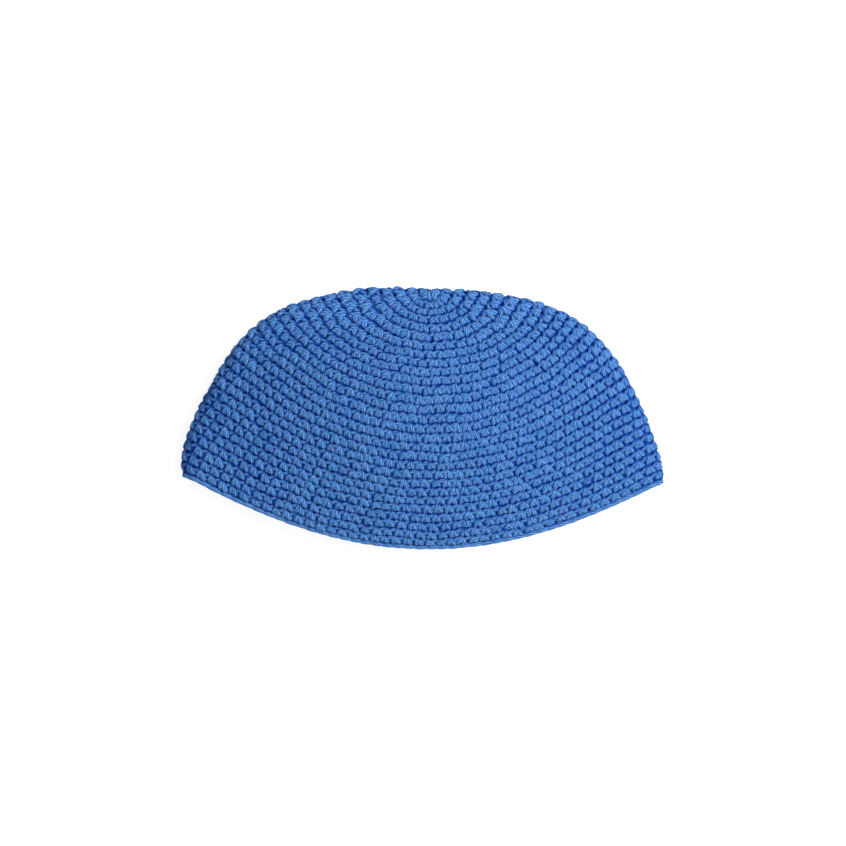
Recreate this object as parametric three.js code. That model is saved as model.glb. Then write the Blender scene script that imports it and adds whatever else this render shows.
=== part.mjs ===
// A crocheted kippah of the large, deep kind, folded in half through its pole and lying on its side.
// It is one wall of single crochet, worked round and round from the pole to the mouth, and it is hollow:
// the two halves of the wall bulge apart, and the head goes in through the open mouth.
// Millimetres. X runs along the fold from corner to corner, +Y from the mouth to the pole, +Z up.
// The lower half has settled flat on the surface at Z = 0, and the origin is the middle of the footprint.

import * as THREE from 'three';

const WALL = 4.0;                // thickness of the crocheted wall
const ROUNDS = 29;               // rounds of single crochet between the pole and the mouth
const EDGING_ROUND = 29.5;       // where the slip-stitch round that finishes the mouth ends, counted in rounds
const EDGING_START = 29.07;      // a third of a millimetre past the last round of single crochet
const FOLD_SOFTNESS = 0.04;      // how gently a round turns over the fold, as a share of its half width
const FACETS_PER_FACE = 20;      // facets across the upper or the lower half of a round
const FACETS_PER_BEND = 3;       // facets in each quarter bend beside a fold
const YARN_BLUE = '#4170b6';

// The wall's middle surface, measured round by round.
//   round   rounds from the pole          mid    X of the middle of the fold line
//   half    half the distance, fold to fold
//   fold    Y of the fold's middle        drop   how much lower the right-hand fold is than the left
//   depth   how far the round reaches from the fold towards the mouth
//   full    shape of that reach: 0.5 is a half ellipse, 1 a parabola
//   lift    height of the fold above the floor
//   puff    rise of the upper half over the fold      sag    fall of the lower half under it
//   bend    radius of the bend at the fold
const SECTION_COLUMNS = ['round', 'mid', 'half', 'fold', 'drop', 'depth', 'full', 'lift', 'puff', 'sag', 'bend'];
const SECTIONS = [
  [0,    3.3,   0.01, 62.2, 0.0,  0.01, 0.50, 14.0,  0.01,  0.01, 0.008],
  [0.5,  3.3,   2.8,  62.2, 0.1,  1.7,  0.50, 14.0,  2.6,   2.6,  2.3],
  [1,    3.3,   5.8,  62.2, 0.2,  5.2,  0.50, 14.0,  4.9,   4.6,  3.9],
  [2,    3.4,  12.0,  62.2, 0.6,  9.3,  0.50, 14.0,  8.0,   7.0,  5.4],
  [3,    3.4,  18.5,  62.1, 1.2, 12.6,  0.50, 14.0, 10.8,   8.8,  6.4],
  [5,    3.3,  31.0,  61.2, 2.0, 20.0,  0.46, 14.0, 16.0,  11.0,  7.6],
  [7,    3.0,  45.0,  58.9, 2.6, 26.4,  0.46, 14.0, 20.6,  12.6,  8.4],
  [9,    2.8,  57.8,  55.5, 3.0, 31.2,  0.57, 13.7, 24.5,  13.6,  9.0],
  [12,   2.1,  74.4,  48.3, 4.6, 37.4,  0.77, 13.2, 28.0,  14.0,  9.4],
  [16,   1.3,  91.8,  32.4, 5.6, 40.2,  1.00, 12.6, 28.5,  13.8,  9.4],
  [20,   0.6, 103.4,  13.4, 5.9, 38.9,  1.10, 11.8, 25.3,  12.8,  8.8],
  [24,   0.0, 111.8,  -4.5, 6.0, 37.7,  1.11, 10.8, 19.6,  10.8,  7.8],
  [29,   0.0, 117.5, -28.1, 3.9, 34.0,  1.10,  9.5, 11.4,   7.6,  6.4],
  [29.5, 0.2, 117.2, -30.3, 3.4, 33.3,  1.10,  9.4, 10.6,   7.5,  6.3],
];

// Rounds at which the crown's wall gets a ring of vertices: closer together at the pole, where it curves most.
const CROWN_RINGS = [0.25, 0.6, 1, 1.5, 2.2, 3, 4.5, 6, 7.5, 9, 11, 13, 15, 17, 19, 21, 23, 25, 27, ROUNDS];
const EDGING_RINGS = [EDGING_START, EDGING_ROUND];

// One column of the table at any round, on a smooth curve through its rows.
function columnAt(column, round) {
  const at = SECTIONS.map((row) => row[0]);
  const value = SECTIONS.map((row) => row[column]);
  const last = at.length - 1;
  const slope = (i) => (value[i + 1] - value[i]) / (at[i + 1] - at[i]);
  const tangent = (i) => {
    if (i === 0) return slope(0);
    if (i === last) return slope(last - 1);
    const before = at[i] - at[i - 1];
    const after = at[i + 1] - at[i];
    return (slope(i - 1) * after + slope(i) * before) / (before + after);
  };
  let i = 0;
  while (i < last - 1 && round >= at[i + 1]) i += 1;
  const span = at[i + 1] - at[i];
  const t = (round - at[i]) / span;
  return value[i] * (1 + 2 * t) * (1 - t) ** 2 + tangent(i) * span * t * (1 - t) ** 2
    + value[i + 1] * t * t * (3 - 2 * t) + tangent(i + 1) * span * t * t * (t - 1);
}

function sectionAt(round) {
  return Object.fromEntries(SECTION_COLUMNS.map((name, column) => [name, columnAt(column, round)]));
}

// Half of a round seen along its reach: a bend, one wide arc and a bend, all tangent to each other.
// share runs from 0 at the left fold to 1 at the right one, by length; it gives [across, height].
function halfRound(share, half, height, bend) {
  const wide = ((half - bend) ** 2 + height ** 2 - bend ** 2) / (2 * (height - bend));
  const lean = Math.atan2(half - bend, wide - height);
  const bendLength = bend * (Math.PI / 2 - lean);
  const length = 2 * (bendLength + wide * lean);
  const along = Math.min(share, 1 - share) * length;
  const side = share < 0.5 ? -1 : 1;
  if (along < bendLength) {
    const turn = along / bend;
    return [side * (half - bend + bend * Math.cos(turn)), bend * Math.sin(turn)];
  }
  const turn = lean - (along - bendLength) / wide;
  return [side * wide * Math.sin(turn), height - wide + wide * Math.cos(turn)];
}

// A point of the wall's middle surface. turn runs once round the closed round:
// 0 is the left fold, 0.5 the right one, and the upper half comes first.
function wallPoint(round, turn) {
  const s = sectionAt(round);
  const t = ((turn % 1) + 1) % 1;
  const upper = t < 0.5;
  const [across, height] = halfRound(upper ? 2 * t : 2 - 2 * t, s.half, upper ? s.puff : s.sag, s.bend);
  const e = across / s.half;
  const soft = FOLD_SOFTNESS ** s.full;
  const reach = (Math.max(1 + FOLD_SOFTNESS - e * e, 0) ** s.full - soft) / ((1 + FOLD_SOFTNESS) ** s.full - soft);
  return new THREE.Vector3(
    s.mid + across,
    s.fold - s.drop * e / 2 - s.depth * reach,
    Math.max(s.lift + (upper ? height : -height), WALL / 2),
  );
}

// The wall's own direction outwards, from how its middle surface runs towards the mouth and around.
function wallNormal(round, turn) {
  const down = wallPoint(round + 0.02, turn).sub(wallPoint(round - 0.02, turn));
  const around = wallPoint(round, turn + 0.0005).sub(wallPoint(round, turn - 0.0005));
  return down.cross(around).normalize();
}

// Shares of a turn at which a round gets a vertex: even steps over the two bends and the two faces.
function turnsOf(round) {
  const s = sectionAt(round);
  const turns = [];
  [s.puff, s.sag].forEach((height, face) => {
    const wide = ((s.half - s.bend) ** 2 + height ** 2 - s.bend ** 2) / (2 * (height - s.bend));
    const lean = Math.atan2(s.half - s.bend, wide - height);
    const bendLength = s.bend * (Math.PI / 2 - lean);
    const bendShare = bendLength / (2 * (bendLength + wide * lean));
    const add = (share) => turns.push((face + share) / 2);
    for (let i = 0; i < FACETS_PER_BEND; i += 1) add(bendShare * i / FACETS_PER_BEND);
    for (let i = 0; i < FACETS_PER_FACE; i += 1) add(bendShare + (1 - 2 * bendShare) * i / FACETS_PER_FACE);
    for (let i = 0; i < FACETS_PER_BEND; i += 1) add(1 - bendShare + bendShare * i / FACETS_PER_BEND);
  });
  return turns;
}

// One face of the wall at a round: side is 1 on the outside and -1 on the inside.
// Where the wall lies on the floor, its outside is the floor itself.
function ringOf(round, side) {
  return turnsOf(round).map((turn) => {
    const point = wallPoint(round, turn).addScaledVector(wallNormal(round, turn), side * WALL / 2);
    point.z = Math.max(point.z, side > 0 ? 0 : WALL);
    return point;
  });
}

// A closed wall between the first and the last of the rounds given. With a pole it is a cap, else a band.
function wallGeometry(rounds, pole) {
  const outside = rounds.map((round) => ringOf(round, 1));
  const inside = rounds.map((round) => ringOf(round, -1));
  const around = outside[0].length;
  const points = [...outside.flat(), ...inside.flat()];
  const corner = (side, ring, i) => (side * rounds.length + ring) * around + (i % around);
  const faces = [];
  const quad = (a, b, c, d) => faces.push(a, b, c, a, c, d);
  const last = rounds.length - 1;
  for (let i = 0; i < around; i += 1) {
    for (let ring = 0; ring < last; ring += 1) {
      quad(corner(0, ring, i), corner(0, ring + 1, i), corner(0, ring + 1, i + 1), corner(0, ring, i + 1));
      quad(corner(1, ring, i), corner(1, ring, i + 1), corner(1, ring + 1, i + 1), corner(1, ring + 1, i));
    }
    quad(corner(0, last, i), corner(1, last, i), corner(1, last, i + 1), corner(0, last, i + 1));
    if (!pole) quad(corner(0, 0, i), corner(0, 0, i + 1), corner(1, 0, i + 1), corner(1, 0, i));
  }
  if (pole) {
    const tips = [1, -1].map((side) => {
      points.push(new THREE.Vector3(pole.x, pole.y + side * WALL / 2, pole.z));
      return points.length - 1;
    });
    for (let i = 0; i < around; i += 1) {
      faces.push(tips[0], corner(0, 0, i), corner(0, 0, i + 1));
      faces.push(tips[1], corner(1, 0, i + 1), corner(1, 0, i));
    }
  }
  const geometry = new THREE.BufferGeometry().setFromPoints(points);
  geometry.setIndex(faces);
  geometry.computeVertexNormals();
  return geometry;
}

function yarnMaterial() {
  return new THREE.MeshStandardMaterial({ color: YARN_BLUE, roughness: 0.9, metalness: 0 });
}

// The crown: every round of single crochet, from the ring of stitches at the pole to the mouth.
function makeCrown() {
  const start = sectionAt(0);
  const crown = new THREE.Mesh(
    wallGeometry(CROWN_RINGS, new THREE.Vector3(start.mid, start.fold, start.lift)),
    yarnMaterial(),
  );
  crown.name = 'crown';
  return crown;
}

// The edging: the round of slip stitches that lies like a thin cord along the mouth.
function makeEdging() {
  const edging = new THREE.Mesh(wallGeometry(EDGING_RINGS, null), yarnMaterial());
  edging.name = 'edging';
  return edging;
}

const kippah = new THREE.Group();
kippah.add(makeCrown(), makeEdging());

export default kippah;
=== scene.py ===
import math

import bpy
import numpy as np
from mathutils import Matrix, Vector


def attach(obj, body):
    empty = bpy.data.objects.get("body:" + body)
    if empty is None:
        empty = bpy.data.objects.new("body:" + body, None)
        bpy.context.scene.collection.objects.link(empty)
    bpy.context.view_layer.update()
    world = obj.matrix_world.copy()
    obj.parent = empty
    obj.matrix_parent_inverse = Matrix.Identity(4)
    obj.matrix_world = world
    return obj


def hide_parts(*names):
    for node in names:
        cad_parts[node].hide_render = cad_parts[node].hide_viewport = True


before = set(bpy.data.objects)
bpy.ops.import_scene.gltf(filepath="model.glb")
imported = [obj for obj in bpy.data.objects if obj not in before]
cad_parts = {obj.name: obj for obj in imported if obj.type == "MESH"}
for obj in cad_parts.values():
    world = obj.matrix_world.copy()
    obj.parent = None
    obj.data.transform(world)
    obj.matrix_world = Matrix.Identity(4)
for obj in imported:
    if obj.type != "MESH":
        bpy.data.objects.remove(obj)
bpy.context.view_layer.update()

# The crown: one wall of single crochet in soft blue cotton, worked round and round from the pole to the
# mouth. In each stitch a loop comes out from under the round before, and its two legs spread over the chain
# of top loops. Six stitches are added in each of the first fifteen rounds, and none after that.
MM = 0.001
ROUNDS = 29
WIDENED_UNTIL = 15
FABRIC = 4.0 * MM
FOLD_SOFTNESS = 0.04
# The cap is folded in half through its pole and laid on its side: its upper half stands puffed up, and its
# lower half has settled flat on the table. Each row below is one measured round, counted from the pole, and
# gives the middle of the fabric in millimetres.
# mid, half: the middle of the round's fold line, and half its length. fold, drop: how far up the picture that
# line is, and how much lower its right end. depth, full: how far the round reaches towards the mouth, and in
# what shape, where 0.5 is a half ellipse and 1 a parabola. lift: the height of the fold. puff, sag: how far
# the two halves stand off it. bend: the radius of their turn at the fold.
COLUMNS = ["round", "mid", "half", "fold", "drop", "depth", "full", "lift", "puff", "sag", "bend"]
SECTIONS = np.array([
    [0,    3.3,   0.01, 62.2, 0.0,  0.01, 0.50, 14.0,  0.01,  0.01, 0.008],
    [0.5,  3.3,   2.8,  62.2, 0.1,  1.7,  0.50, 14.0,  2.6,   2.6,  2.3],
    [1,    3.3,   5.8,  62.2, 0.2,  5.2,  0.50, 14.0,  4.9,   4.6,  3.9],
    [2,    3.4,  12.0,  62.2, 0.6,  9.3,  0.50, 14.0,  8.0,   7.0,  5.4],
    [3,    3.4,  18.5,  62.1, 1.2, 12.6,  0.50, 14.0, 10.8,   8.8,  6.4],
    [5,    3.3,  31.0,  61.2, 2.0, 20.0,  0.46, 14.0, 16.0,  11.0,  7.6],
    [7,    3.0,  45.0,  58.9, 2.6, 26.4,  0.46, 14.0, 20.6,  12.6,  8.4],
    [9,    2.8,  57.8,  55.5, 3.0, 31.2,  0.57, 13.7, 24.5,  13.6,  9.0],
    [12,   2.1,  74.4,  48.3, 4.6, 37.4,  0.77, 13.2, 28.0,  14.0,  9.4],
    [16,   1.3,  91.8,  32.4, 5.6, 40.2,  1.00, 12.6, 28.5,  13.8,  9.4],
    [20,   0.6, 103.4,  13.4, 5.9, 38.9,  1.10, 11.8, 25.3,  12.8,  8.8],
    [24,   0.0, 111.8,  -4.5, 6.0, 37.7,  1.11, 10.8, 19.6,  10.8,  7.8],
    [29,   0.0, 117.5, -28.1, 3.9, 34.0,  1.10,  9.5, 11.4,   7.6,  6.4],
    [29.5, 0.2, 117.2, -30.3, 3.4, 33.3,  1.10,  9.4, 10.6,   7.5,  6.3],
])
RING_STEP = 0.1
RINGS_END = 29.65
ALONG_HALF = 1501
AROUND = 1200
SHORT_OF_END = 1.001


def column(name, at_round):
    """One column of the table at any round, on a smooth curve through its rows."""
    x, y = SECTIONS[:, 0], SECTIONS[:, COLUMNS.index(name)]
    gap, slope = np.diff(x), np.diff(y) / np.diff(x)
    tangent = np.empty(len(x))
    tangent[0], tangent[-1] = slope[0], slope[-1]
    tangent[1:-1] = (slope[:-1] * gap[1:] + slope[1:] * gap[:-1]) / (gap[1:] + gap[:-1])
    i = int(np.clip(np.searchsorted(x, at_round, side="right") - 1, 0, len(gap) - 1))
    t = (at_round - x[i]) / gap[i]
    start = y[i] * (1 + 2 * t) * (1 - t) ** 2 + tangent[i] * gap[i] * t * (1 - t) ** 2
    return start + y[i + 1] * t * t * (3 - 2 * t) + tangent[i + 1] * gap[i] * t * t * (t - 1)


def half_round(share, half, height, bend):
    """Half of a round seen along its reach: a bend, one wide arc and a bend, all tangent to each other."""
    wide = ((half - bend) ** 2 + height ** 2 - bend ** 2) / (2 * (height - bend))
    lean = math.atan2(half - bend, wide - height)
    bend_length = bend * (math.pi / 2 - lean)
    along = np.minimum(share, 1 - share) * 2 * (bend_length + wide * lean)
    on_bend = along < bend_length
    turn = np.where(on_bend, along / bend, lean - (along - bend_length) / wide)
    across = np.where(on_bend, half - bend + bend * np.cos(turn), wide * np.sin(turn))
    rise = np.where(on_bend, bend * np.sin(turn), height - wide + wide * np.cos(turn))
    return np.where(share < 0.5, -across, across), rise


def ring_points(at_round):
    """The middle of the fabric once round a round, at even steps of length from the left fold."""
    s = {name: column(name, at_round) for name in COLUMNS}
    share = np.linspace(0, 1, ALONG_HALF)
    upper, lower = (half_round(share, s["half"], s[height], s["bend"]) for height in ("puff", "sag"))
    across = np.concatenate([upper[0], lower[0][::-1]])
    rise = np.concatenate([upper[1], -lower[1][::-1]])
    e = across / s["half"]
    soft = FOLD_SOFTNESS ** s["full"]
    full = (1 + FOLD_SOFTNESS) ** s["full"]
    reach = (np.maximum(1 + FOLD_SOFTNESS - e * e, 0) ** s["full"] - soft) / (full - soft)
    x = s["mid"] + across
    y = s["fold"] - s["drop"] * e / 2 - s["depth"] * reach
    z = np.maximum(s["lift"] + rise, FABRIC / MM / 2)
    points = np.stack([x, y, z], 1) * MM
    run = np.concatenate([[0], np.cumsum(np.linalg.norm(np.diff(points, axis=0), axis=1))])
    even = np.linspace(0, run[-1], AROUND + 1)[:-1]
    return np.stack([np.interp(even, run, points[:, k]) for k in range(3)], 1)


def unit(vectors):
    return vectors / np.maximum(np.linalg.norm(vectors, axis=-1, keepdims=True), 1e-12)


ring_rounds = np.arange(0, RINGS_END, RING_STEP)
wall = np.stack([ring_points(r) for r in ring_rounds])
wall_around = np.roll(wall, -1, 1) - np.roll(wall, 1, 1)
wall_down = np.gradient(wall, axis=0)
wall_out = unit(np.cross(wall_down, wall_around))
wall_out[0] = wall_out[1]
round_height = np.linalg.norm(wall_down, axis=-1) / RING_STEP


def on_wall(at_round, share, out):
    """A point of the fabric, from its round, its share of a turn and how far outside the middle it is."""
    r = np.clip(at_round / RING_STEP, 0, len(ring_rounds) - SHORT_OF_END)
    s = (share % 1.0) * AROUND
    i, j = r.astype(int), s.astype(int) % AROUND
    fr, fs, k = (r - i)[..., None], (s - s.astype(int))[..., None], (j + 1) % AROUND

    def blend(grid):
        near = grid[i, j] * (1 - fs) + grid[i, k] * fs
        far = grid[i + 1, j] * (1 - fs) + grid[i + 1, k] * fs
        return near * (1 - fr) + far * fr

    normal = unit(blend(wall_out))
    return blend(wall) + normal * out[..., None], normal


# The crown's yarn is several plies of cotton twisted together. They show as slanting ridges along each
# strand, with a painted highlight on the ridges and painted shade in the grooves between them, and loose
# fibres that blur their edges. Less light gets in between the stitches, and hardly any into the holes beside
# them: that shade is painted into the yarn's colour as well, from how far each point lies off the fabric's
# middle.
RIDGE_SKY = (0.094, 0.280, 0.54)
RIDGE_VIOLET = (0.134, 0.268, 0.56)
PLY_GROOVE_SHADE_BLUE = (0.009, 0.092, 0.40)
PAINTED_SHADE_BLUE = (0.0030, 0.040, 0.28)
HOLE_SHADE_BLUE = (0.0010, 0.011, 0.08)
# how far off the fabric's middle, less its painted shade, a point turns from painted hole shade into painted
# shade, and from that into full light, in millimetres
HOLE_TO_SHADE = (-1.2, 0.3)
SHADE_TO_LIGHT = (0.8, 2.2)
PLIES = 7
PLY_TURN = 17.0 * MM
PLY_RELIEF = 0.55 * MM
# how many fibres, uneven patches and changes of dye lie along a metre, and how much each of them counts,
# with the painted highlight on the ply ridges and the painted shade in their grooves
FIBRES_PER_METRE = 2200.0
PATCHES_PER_METRE = 160.0
DYES_PER_METRE = 420.0
DYE_SPAN = (0.38, 0.62)
RIDGE_LIGHT = 1.1
PATCH_LIGHT = 0.6
PLY_GROOVE_SHADE = 0.95
RIDGE_RELIEF = 0.8
FIBRE_RELIEF = 0.4


class Wire:
    """One socket of a material, so that its shading can be written as sums."""

    def __init__(self, tree, socket=None):
        self.tree, self.socket = tree, socket

    def node(self, kind, settings, inputs, output=0):
        made = self.tree.nodes.new(kind)
        for name, value in settings.items():
            setattr(made, name, value)
        for name, value in inputs.items():
            if isinstance(value, Wire):
                self.tree.links.new(value.socket, made.inputs[name])
            else:
                made.inputs[name].default_value = value
        return Wire(self.tree, made.outputs[output] if made.outputs else None)

    def beside(self, output):
        """Another output of the node that this socket belongs to."""
        return Wire(self.tree, self.socket.node.outputs[output])

    def math(self, operation, *values):
        return self.node("ShaderNodeMath", {"operation": operation}, dict(enumerate(values)))

    def ramp(self, span, start=0.0, end=1.0, kind="LINEAR"):
        """start up to the first number of the span, end from its second one, and a slope in between."""
        return self.node("ShaderNodeMapRange", {"interpolation_type": kind},
                         {0: self, 1: span[0], 2: span[1], 3: start, 4: end})

    def __add__(self, other):
        return self.math("ADD", self, other)

    def __sub__(self, other):
        return self.math("SUBTRACT", self, other)

    def __rsub__(self, other):
        return self.math("SUBTRACT", other, self)

    def __mul__(self, other):
        return self.math("MULTIPLY", self, other)

    __radd__ = __add__
    __rmul__ = __mul__


def mix_colour(share, low, high):
    low, high = (colour if isinstance(colour, Wire) else (*colour, 1) for colour in (low, high))
    return share.node("ShaderNodeMix", {"data_type": "RGBA"}, {0: share, 6: low, 7: high}, 2)


def yarn_material():
    made = bpy.data.materials.new("cotton_yarn")
    made.use_nodes = True
    made.node_tree.nodes.clear()
    start = Wire(made.node_tree)
    yarn_map = start.node("ShaderNodeUVMap", {"uv_map": "yarn"}, {})
    along = start.node("ShaderNodeSeparateXYZ", {}, {0: yarn_map})
    around = along.beside(1)
    place = start.node("ShaderNodeTexCoord", {}, {}, "Object")
    painted_shade_height = start.node("ShaderNodeAttribute", {"attribute_name": "painted_shade_height"}, {}, "Fac")
    across_ply = start.math("FRACT", along + around * PLIES)
    ridge = start.math("SINE", across_ply * math.pi)
    fibres = start.node("ShaderNodeTexNoise", {}, {
        "Vector": place, "Scale": FIBRES_PER_METRE, "Detail": 2.0, "Roughness": 0.6})
    patches = start.node("ShaderNodeTexNoise", {}, {
        "Vector": place, "Scale": PATCHES_PER_METRE, "Detail": 2.0})
    dye = start.node("ShaderNodeTexNoise", {}, {
        "Vector": place, "Scale": DYES_PER_METRE, "Detail": 1.0})
    # painted highlight on the ply ridges and painted shade in their grooves, with the fibres and patches as
    # the cotton's uneven tone
    light = ridge * RIDGE_LIGHT + fibres + patches * PATCH_LIGHT - PLY_GROOVE_SHADE
    light = start.node("ShaderNodeClamp", {}, {0: light})
    surface = mix_colour(light, PLY_GROOVE_SHADE_BLUE, mix_colour(dye.ramp(DYE_SPAN), RIDGE_SKY, RIDGE_VIOLET))
    # painted shade: the lower a point lies off the fabric's middle, the deeper the blue, down to near black
    # in the holes
    between = mix_colour(painted_shade_height.ramp(HOLE_TO_SHADE, kind="SMOOTHSTEP"), HOLE_SHADE_BLUE, PAINTED_SHADE_BLUE)
    colour = mix_colour(painted_shade_height.ramp(SHADE_TO_LIGHT, kind="SMOOTHSTEP"), between, surface)
    bump = start.node("ShaderNodeBump", {}, {
        "Strength": 1.0, "Distance": PLY_RELIEF, "Height": ridge * RIDGE_RELIEF + fibres * FIBRE_RELIEF})
    shader = start.node("ShaderNodeBsdfPrincipled", {}, {
        "Base Color": colour, "Normal": bump, "Roughness": 0.9, "Specular IOR Level": 0.03})
    start.node("ShaderNodeOutputMaterial", {}, {"Surface": shader})
    return made


cotton = yarn_material()

# The crown's stitches. Each round is set back a quarter of a stitch against the one before it, so that they
# stand in slanting rows, and they sit a little closer on the two faces than at the folds.
SET_BACK = 0.25
CLOSER_ON_FACES = 0.05
STRAND = 1.12 * MM
LEG_SIDES = 7
LOOP_SIDES = 6
LEG_STEPS = 22
JUST_OFF_TABLE = 0.05 * MM
# how far a strand's first side is turned off its own direction, and the margin of a block of the bake map
NUDGE = 0.01
BLOCK_EDGE = 0.04
# where a round is higher than an even one the yarn fluffs up to fill it, the loops less than the legs
EVEN_ROUND = 5.1 * MM
MOST_SWELL = 1.45
LOOP_SWELL = 0.6
# across in stitches, down in rounds, out from the middle of the wall in mm, thickness in strands
LEG_PATH = [
    [0.31, 1.06, -0.90, 0.80],
    [0.25, 1.03, 0.05, 0.88],
    [0.21, 0.90, 0.86, 0.98],
    [0.25, 0.68, 1.22, 1.06],
    [0.31, 0.51, 1.36, 1.10],
    [0.36, 0.36, 1.26, 1.02],
    [0.39, 0.22, 0.96, 0.92],
    [0.41, 0.08, 0.05, 0.82],
    [0.44, 0.00, -0.70, 0.78],
    [0.48, 0.07, 0.10, 0.82],
    [0.50, 0.19, 0.98, 0.92],
    [0.55, 0.31, 1.34, 1.04],
    [0.65, 0.45, 1.50, 1.16],
    [0.75, 0.59, 1.34, 1.12],
    [0.84, 0.74, 0.84, 0.96],
    [0.85, 0.87, -0.05, 0.86],
    [0.77, 0.96, -0.90, 0.80],
]
# the same columns for the strands that run on from stitch to stitch: the top loops of the round before, which
# show between the stitches, a strand under the line between two rounds, and a bar behind the legs
TOP_LOOPS = [
    [0.12, 0.17, 1.05, 0.95],
    [0.42, 0.14, 0.20, 0.80],
    [0.70, 0.25, 0.90, 0.95],
    [0.92, 0.21, 1.15, 0.98],
]
UNDER_LINE = [
    [0.00, -0.05, -0.35, 1.05],
    [0.30, 0.00, 0.00, 1.20],
    [0.60, 0.04, 0.00, 1.20],
    [0.85, 0.05, -0.30, 1.10],
]
BEHIND_LEGS = [
    [0.00, 0.54, -0.15, 1.05],
    [0.25, 0.56, 0.50, 1.20],
    [0.50, 0.64, 0.75, 1.20],
    [0.75, 0.56, 0.40, 1.20],
]
LOOP_PATHS = [TOP_LOOPS, UNDER_LINE, BEHIND_LEGS]
# which of their four points lie in the gap between two stitches
IN_THE_GAP = [1, 0, 0, 1]
# the first round, which is worked into a small ring of yarn at the pole
FIRST_AT = 0.3
NEAREST_POLE = 0.2
KNOT_AT = 0.16
KNOT_OUT = 0.9 * MM
KNOT_POINTS = 5
# at the folds the stitches reach further and lie flatter, as shares, and the strand under the line between
# two rounds comes up between them, in mm
CLOSED_AT_FOLDS = 0.12
FLATTER_AT_FOLDS = 0.28
FILLED_AT_FOLDS = 0.35
# painted shade, as millimetres taken off a strand's height: along the line between two rounds, and how it
# changes at the folds, where the holes beside the stitches open
LINE_SHADE_DEPTH = 0.6
LINE_WIDTH = 0.14
LINE_SHIFT = 0.01
LINE_UNEVEN = (0.7, 1.2)
DARKER_AT_FOLDS = 0.8
LINE_FADES = 0.4
HOLE_SHADE_AT_FOLDS = 2.8
SHADED_AT_FOLDS = 0.35
# how far the line between two rounds is pulled up between the stitches, and how far hand-made rounds stray in
# slow waves, in rounds: both grow over the first rounds
HOOKED_UP = 0.09
HOOKED_AT = 0.05
WANDER = 0.05
WAVE_COUNT = 14
WAVE_SWINGS = (3, 22)
WAVE_SHIFT = 0.9
GROWN_AT = 6
# how far each point of a leg, and each whole stitch, strays by chance, in the columns above
POINT_STRAY = [0.014, 0.012, 0.06]
STITCH_STRAY = [0.03, 0.04, 0.17, 0.08]
LEAN_STRAY = 0.06
LEANS_FROM = 0.4
LOOP_STRAY = 0.02
draw = np.random.default_rng(29)


def stitches_in(at_round):
    return 6 * min(at_round, WIDENED_UNTIL)


def crowd(share):
    """Stitches sit a little closer on the two faces than at the folds."""
    return share + CLOSER_ON_FACES * np.sin(share * 4 * math.pi) / (4 * math.pi)


def wander(at_round, share):
    """How far hand-made rounds stray from even ones: slow waves that neighbouring rounds share."""
    waves = np.random.default_rng(1)
    stray = 0
    for _ in range(WAVE_COUNT):
        swings, shift, phase = waves.integers(*WAVE_SWINGS), waves.normal(0, WAVE_SHIFT), waves.random()
        stray = stray + np.sin(2 * math.pi * swings * share + shift * at_round + phase * 2 * math.pi)
    return stray / math.sqrt(WAVE_COUNT / 2)


def worked(at_round, across, down):
    """Where a point of a stitch comes to lie: the round it is at, and its share of a turn."""
    share = crowd(across / stitches_in(at_round))
    down = at_round - 1 + down if at_round > 1 else FIRST_AT + (1 - FIRST_AT) * down
    grown = min(1, at_round / GROWN_AT)
    hooked = -HOOKED_UP * grown * np.cos(2 * math.pi * (across + SET_BACK * down - HOOKED_AT))
    return down + WANDER * wander(down, share) * grown + hooked, share


def line_shade(down):
    """The shade painted by the line between two rounds, where less light gets in, as millimetres of depth."""
    from_line = (down + 0.5) % 1 - 0.5 + LINE_SHIFT
    return draw.uniform(*LINE_UNEVEN, (len(down), 1)) * LINE_SHADE_DEPTH * np.exp(-(from_line / LINE_WIDTH) ** 2)


def through(points, count):
    """Weights that turn a strand's few chosen points into an even run of points on a smooth curve."""
    last = len(points) - 1
    weights = np.zeros((count, last + 1))
    for row, at in enumerate(np.linspace(0, last, count)):
        i = min(int(at), last - 1)
        t = at - i
        four = [(-t + 2 * t * t - t ** 3) / 2, (2 - 5 * t * t + 3 * t ** 3) / 2,
                (t + 4 * t * t - 3 * t ** 3) / 2, (t ** 3 - t * t) / 2]
        for k, weight in zip(range(i - 1, i + 3), four):
            weights[row, min(max(k, 0), last)] += weight
    return weights


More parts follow.
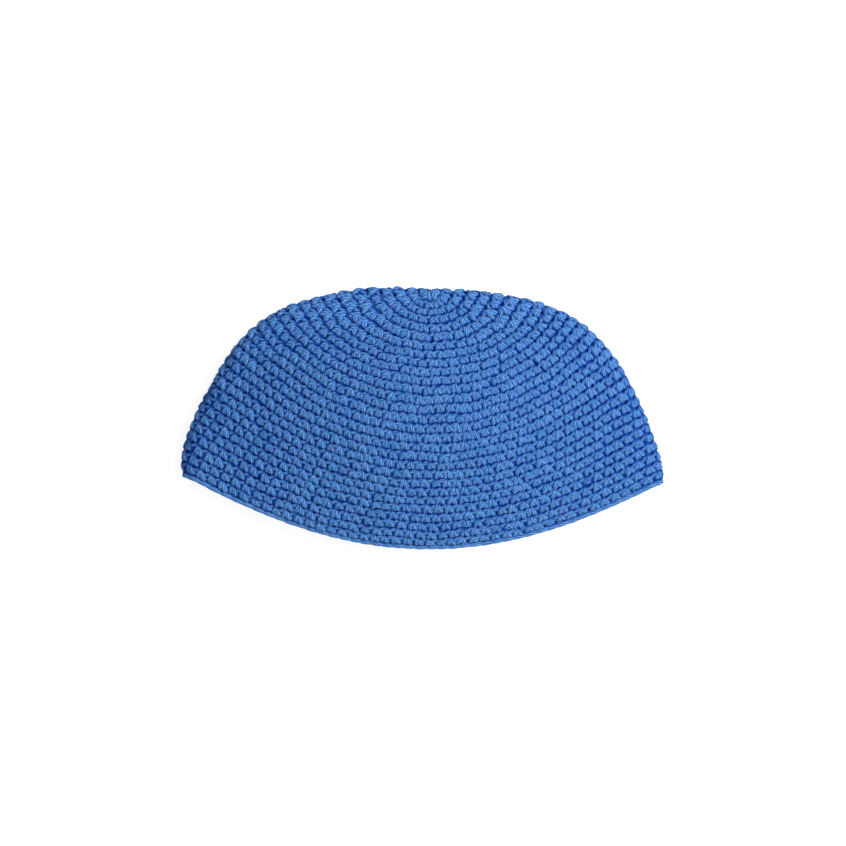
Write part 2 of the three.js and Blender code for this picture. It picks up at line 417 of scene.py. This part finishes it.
class Strands:
    """Gathers tubes of yarn and makes one mesh of them, with one map along the yarn and one for baking."""

    def __init__(self):
        self.points, self.heights, self.quads, self.ends, self.yarn, self.bake = [], [], [], [], [], []
        self.count = 0

    def add(self, path, out, height, radius, sides, closed, cells, shade=0.0):
        """path is strands x steps x 3. cells are the strands' own rectangles of the bake map."""
        strands, steps = path.shape[:2]
        if closed:
            along = unit(np.roll(path, -1, 1) - np.roll(path, 1, 1))
            side = unit(np.cross(along, out))
        else:
            along = unit(np.gradient(path, axis=1))
            side = np.empty_like(path)
            side[:, 0] = unit(np.cross(along[:, 0], out[:, 0] + along[:, 1] * NUDGE))
            for k in range(1, steps):
                before = side[:, k - 1]
                side[:, k] = unit(before - along[:, k] * (before * along[:, k]).sum(-1, keepdims=True))
        up = np.cross(side, along)
        angle = np.arange(sides) * 2 * math.pi / sides
        ring = side[:, :, None] * np.cos(angle)[:, None] + up[:, :, None] * np.sin(angle)[:, None]
        skin = path[:, :, None] + ring * radius[:, :, None, None]
        rise = (ring * out[:, :, None]).sum(-1) * radius[:, :, None] + height[:, :, None]
        step = np.linalg.norm(np.diff(path, axis=1, append=path[:, :1]), axis=-1)
        run = np.concatenate([np.zeros((strands, 1)), np.cumsum(step, 1)], 1) / PLY_TURN * PLIES
        run += draw.random((strands, 1)) * PLIES
        index = self.count + np.arange(strands * steps * sides).reshape(strands, steps, sides)
        spans = steps if closed else steps - 1
        k0, j0 = np.arange(spans), np.arange(sides)
        k1, j1 = (k0 + 1) % steps, (j0 + 1) % sides
        corners = [(k0, k0, j0, j0), (k0, k0, j1, j0 + 1), (k1, k0 + 1, j1, j0 + 1), (k1, k0 + 1, j0, j0)]
        quad, yarn, bake = [], [], []
        low, size = cells[:, None, None, :2], cells[:, None, None, 2:]
        for k, k_map, j, j_map in corners:
            quad.append(index[:, k[:, None], j[None, :]])
            v = np.broadcast_to(j_map[None, None, :] / sides, (strands, spans, sides))
            yarn.append(np.stack([np.broadcast_to(run[:, k_map, None], v.shape), v], -1))
            share = np.broadcast_arrays(k_map[None, :, None] / spans, j_map[None, None, :] / sides)
            bake.append(low + size * np.stack(share, -1))
        self.points.append(skin.reshape(-1, 3))
        # each point's height off the fabric's middle less its painted shade, which sets how much painted
        # shade its colour gets
        self.heights.append((np.abs(rise) / MM - np.broadcast_to(shade, radius.shape)[:, :, None]).ravel())
        self.quads.append(np.stack(quad, -1).reshape(-1, 4))
        self.yarn.append(np.stack(yarn, -2).reshape(-1, 2))
        self.bake.append(np.stack(bake, -2).reshape(-1, 2))
        if not closed:
            self.ends.append(index[:, 0, ::-1])
            self.ends.append(index[:, -1])
        self.count += strands * steps * sides

    def make(self, name):
        points = np.concatenate(self.points)
        points[:, 2] = np.maximum(points[:, 2], JUST_OFF_TABLE)
        corners = [q.ravel() for q in self.quads] + [e.ravel() for e in self.ends]
        sizes = [np.full(len(q), q.shape[1]) for q in self.quads + self.ends]
        corners, sizes = np.concatenate(corners).astype(np.int32), np.concatenate(sizes).astype(np.int32)
        mesh = bpy.data.meshes.new(name)
        mesh.vertices.add(len(points))
        mesh.vertices.foreach_set("co", points.astype(np.float32).ravel())
        mesh.loops.add(len(corners))
        mesh.loops.foreach_set("vertex_index", corners)
        mesh.polygons.add(len(sizes))
        starts = np.concatenate([[0], np.cumsum(sizes)[:-1]]).astype(np.int32)
        mesh.polygons.foreach_set("loop_start", starts)
        mesh.update(calc_edges=True)
        mesh.validate()
        mesh.polygons.foreach_set("use_smooth", np.ones(len(mesh.polygons), bool))
        for map_name, parts in (("OFBake", self.bake), ("yarn", self.yarn)):
            layer = mesh.uv_layers.new(name=map_name)
            values = np.concatenate(parts)
            full = np.zeros((len(mesh.loops), 2), np.float32)
            full[:len(values)] = values
            layer.uv.foreach_set("vector", full.ravel())
        painted_shade_height = mesh.attributes.new("painted_shade_height", "FLOAT", "POINT")
        painted_shade_height.data.foreach_set("value", np.concatenate(self.heights).astype(np.float32))
        mesh.materials.append(cotton)
        made = bpy.data.objects.new(name, mesh)
        bpy.context.scene.collection.objects.link(made)
        return made


def bake_cells(stitches):
    """A square map cut into one block for each stitch: its legs get the upper half, its loops the lower."""
    wide = math.ceil(math.sqrt(stitches))
    size = 1 / wide
    edge = size * BLOCK_EDGE
    at = np.arange(stitches)
    low = np.stack([at % wide, at // wide], 1) * size

    def cells(right, up, across):
        extent = np.tile([across, size / 2 - 2 * edge], (stitches, 1))
        return np.concatenate([low + [right, up], extent], 1)

    kinds = len(LOOP_PATHS)
    legs = cells(edge, size / 2 + edge, size - 2 * edge)
    return legs, [cells(size * k / kinds + edge / 2, edge, size / kinds - edge) for k in range(kinds)]


def crochet_round(store, at_round, cells, done):
    """All the stitches of one round, and the strands that run on from one to the next."""
    count = stitches_in(at_round)
    number = np.arange(count)
    start = -SET_BACK * at_round
    on_face = np.abs(np.sin(2 * math.pi * (number + start) / count))
    at_fold = 1 - on_face
    shift = draw.normal(0, STITCH_STRAY[0] + STITCH_STRAY[0] * on_face)
    legs = np.tile(np.array(LEG_PATH), (count, 1, 1))
    each_point, each_stitch = legs.shape[:2], (count, 1)
    legs[..., 0] += shift[:, None]
    legs[..., 0] += draw.normal(0, POINT_STRAY[0], each_point)
    legs[..., 0] += draw.normal(0, LEAN_STRAY, each_stitch) * (legs[..., 1] - LEANS_FROM)
    legs[..., 1] += (legs[..., 1] - 0.5) * CLOSED_AT_FOLDS * at_fold[:, None] ** 2
    legs[..., 1] += draw.normal(0, POINT_STRAY[1], each_point) + draw.normal(0, STITCH_STRAY[1], each_stitch)
    legs[..., 2] += draw.normal(0, POINT_STRAY[2], each_point) + draw.normal(0, STITCH_STRAY[2], each_stitch)
    legs[..., 2] *= 1 - FLATTER_AT_FOLDS * at_fold[:, None] ** 2
    legs[..., 3] *= draw.normal(1, STITCH_STRAY[3], each_stitch)
    legs = np.einsum("kc,scd->skd", through(LEG_PATH, LEG_STEPS), legs)
    in_round = legs[..., 1].clip(0) if at_round == 1 else legs[..., 1]
    down, share = worked(at_round, number[:, None] + legs[..., 0] + start, in_round)
    path, out = on_wall(down.clip(NEAREST_POLE), share, legs[..., 2] * MM)
    turn = (share[:, 0] % 1 * AROUND).astype(int)
    swell = (round_height[int((at_round - 0.5) / RING_STEP), turn] / EVEN_ROUND).clip(1.0, MOST_SWELL)
    legs[..., 3] *= swell[:, None]
    leg_cells, loop_cells = cells
    # painted shade along the line between two rounds, deeper at the folds
    shade = line_shade(legs[..., 1]) * (1 + DARKER_AT_FOLDS * at_fold[:, None])
    store.add(path, out, legs[..., 2] * MM, legs[..., 3] * STRAND, LEG_SIDES, False,
              leg_cells[done:done + count], shade)
    for loop, loop_cell in zip(LOOP_PATHS, loop_cells):
        points = np.tile(np.array(loop), (count, 1))
        points[:, 1:3] += draw.normal(0, LOOP_STRAY, (len(points), 2))
        shade = line_shade(points[None, :, 1])
        fold = np.repeat(at_fold, len(loop))
        in_gap = fold * np.tile(IN_THE_GAP, count)
        # at the folds the strand under the line fills the gap, and the holes beside the stitches are painted
        # on it as dark shade; the other loops get a little painted shade there
        if loop is UNDER_LINE:
            points[:, 2] += FILLED_AT_FOLDS * fold ** 3
            shade = shade * np.repeat(on_face, len(loop)) ** LINE_FADES + HOLE_SHADE_AT_FOLDS * in_gap
        else:
            shade = shade + SHADED_AT_FOLDS * in_gap
        down, share = worked(at_round, np.repeat(number, len(loop)) + points[:, 0] + start, points[:, 1])
        path, out = on_wall(down, share, points[:, 2] * MM)
        points[:, 3] *= np.repeat(swell, len(loop)) ** LOOP_SWELL
        store.add(path[None], out[None], points[None, :, 2] * MM, points[None, :, 3] * STRAND,
                  LOOP_SIDES, True, loop_cell[done:done + 1], shade)
    return done + count


def first_knot(store, cell):
    """The small ring of yarn that the first round is worked into."""
    turn = np.arange(KNOT_POINTS) / KNOT_POINTS
    path, out = on_wall(np.full(KNOT_POINTS, KNOT_AT), turn, np.full(KNOT_POINTS, KNOT_OUT))
    height, radius = np.full((1, KNOT_POINTS), KNOT_OUT), np.full((1, KNOT_POINTS), STRAND)
    store.add(path[None], out[None], height, radius, LOOP_SIDES, True, cell)


# the crown's rounds in bands, so that none of its pieces is too heavy
BANDS = {
    "crown_start": range(1, 12),
    "crown_upper": range(12, 17),
    "crown_middle": range(17, 21),
    "crown_lower": range(21, 25),
    "crown_wide_rounds": range(25, 28),
    "crown_last_rounds": range(28, ROUNDS + 1),
}
for name, rounds in BANDS.items():
    store = Strands()
    cells = bake_cells(sum(stitches_in(r) for r in rounds) + 1)
    done = 0
    if 1 in rounds:
        first_knot(store, cells[0][-1:])
    for at_round in rounds:
        done = crochet_round(store, at_round, cells, done)
    piece = store.make(name)
    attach(piece, "root")
    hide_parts("crown")


# The edging: one round of slip stitches in the same yarn, worked into the crown's last round. Each is a flat
# link of two strands that lies along the mouth and starts inside the link before it, so that together they
# look like a thin plaited cord. They lie open to the light, so instead of painted shade they get painted
# light: their colour is painted as if they stood 1.6 mm higher off the fabric's middle.
EDGE_AT = 29.36
LINK_STRAND = 1.15 * MM
EDGE_PAINTED_LIGHT = -1.6
LINK_STEPS = 16
LINK_STRAY = [0.04, 0.02]
LAST_LOOPS_AT = 28.92
LAST_LOOPS_OUT = 0.5
# across in stitches, down in rounds from the middle of the cord, out in mm, thickness
LINK_PATH = [
    [-0.30, 0.06, -0.10, 0.80],
    [0.00, 0.03, 0.85, 0.90],
    [0.35, -0.03, 1.25, 1.00],
    [0.70, -0.06, 1.20, 1.00],
    [1.02, 0.00, 0.60, 0.90],
    [1.10, 0.04, -0.15, 0.85],
    [0.98, 0.05, -0.80, 0.90],
    [0.65, 0.02, -1.05, 0.95],
    [0.30, 0.00, -1.05, 0.95],
    [-0.05, 0.03, -0.65, 0.85],
    [-0.25, 0.06, -0.20, 0.80],
]
store = Strands()
count = stitches_in(ROUNDS)
number = np.arange(count)
link_cells, loop_cells = bake_cells(count)
links = np.tile(np.array(LINK_PATH), (count, 1, 1))
for way, stray in enumerate(LINK_STRAY):
    links[..., way] += draw.normal(0, stray, (count, 1))
links = np.einsum("kc,scd->skd", through(LINK_PATH, LINK_STEPS), links)
share = crowd((number[:, None] + links[..., 0]) / count)
path, out = on_wall(EDGE_AT + links[..., 1], share, links[..., 2] * MM)
store.add(path, out, links[..., 2] * MM, links[..., 3] * LINK_STRAND, LEG_SIDES, False, link_cells, EDGE_PAINTED_LIGHT)
points = np.tile(np.array(TOP_LOOPS), (count, 1))
points[:, 2] *= LAST_LOOPS_OUT
share = crowd((np.repeat(number, len(TOP_LOOPS)) + points[:, 0]) / count)
path, out = on_wall(LAST_LOOPS_AT + points[:, 1], share, points[:, 2] * MM)
store.add(path[None], out[None], points[None, :, 2] * MM, points[None, :, 3] * STRAND,
          LOOP_SIDES, True, loop_cells[0][:1])
edging = store.make("edging_round")
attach(edging, "root")
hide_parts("edging")


# The table: a wide sheet of matte white paper that the cap lies on. It glows, as paper does over a light box,
# so that it shows plain white with hardly any shadow.
PAPER = 6.0
PAPER_GREY = 0.25
PAPER_GLOW = 0.85
bpy.ops.mesh.primitive_plane_add(size=PAPER)
paper = bpy.context.object
paper.name = "paper"
white = bpy.data.materials.new("white_paper")
white.use_nodes = True
sheet = white.node_tree.nodes["Principled BSDF"]
sheet.inputs["Base Color"].default_value = (PAPER_GREY, PAPER_GREY, PAPER_GREY, 1)
sheet.inputs["Roughness"].default_value = 0.9
sheet.inputs["Specular IOR Level"].default_value = 0.1
sheet.inputs["Emission Color"].default_value = (1, 1, 1, 1)
sheet.inputs["Emission Strength"].default_value = PAPER_GLOW
paper.data.materials.append(white)

# The light: a soft sky, brightest overhead and dim lower down, with a white backdrop along the horizon. Their
# limits are heights on a sky that is one unit high. One broad panel stands over the upper right, and a weak
# one over the mouth.
SKY_DIM = 0.20
SKY_OVERHEAD = 0.47
SKY_CLIMBS = (0.12, 0.45)
BACKDROP = 0.85
BACKDROP_ENDS = (0.07, 0.12)
# where each panel stands, how wide it is, and its power
PANELS = {
    "key_panel": [(0.80, 0.35, 1.14), 0.9, 30.5],
    "fill_panel": [(0.1, -1.0, 0.9), 1.2, 5.0],
}
sky = bpy.data.worlds.new("studio")
bpy.context.scene.world = sky
sky.use_nodes = True
start = Wire(sky.node_tree)
towards = start.node("ShaderNodeTexCoord", {}, {})
rise = start.node("ShaderNodeSeparateXYZ", {}, {0: towards}).beside(2)
glow = rise.ramp(SKY_CLIMBS, SKY_DIM, SKY_OVERHEAD) + rise.ramp(BACKDROP_ENDS, BACKDROP, 0.0)
background = sky.node_tree.nodes["Background"]
background.inputs["Color"].default_value = (1, 1, 1, 1)
sky.node_tree.links.new(glow.socket, background.inputs["Strength"])
for name, (place, size, power) in PANELS.items():
    lamp = bpy.data.lights.new(name, "AREA")
    lamp.size, lamp.energy = size, power
    panel = bpy.data.objects.new(name, lamp)
    panel.location = place
    panel.rotation_euler = (-Vector(place)).to_track_quat("-Z", "Y").to_euler()
    bpy.context.scene.collection.objects.link(panel)

# The camera looks straight down, with the mouth towards the bottom of the picture.
FRAME_WIDTH = 418.8 * MM
FOLD_HEIGHT = 12 * MM
CAMERA_ABOVE = 2.5
CENTRE = (0.25 * MM, -2.4 * MM)
lens = bpy.data.cameras.new("camera")
lens.sensor_width = 36.0
lens.lens = lens.sensor_width * CAMERA_ABOVE / FRAME_WIDTH
lens.clip_end = 20.0
camera = bpy.data.objects.new("camera", lens)
camera.location = (*CENTRE, FOLD_HEIGHT + CAMERA_ABOVE)
bpy.context.scene.collection.objects.link(camera)
bpy.context.scene.camera = camera
bpy.context.scene.view_settings.view_transform = "Standard"
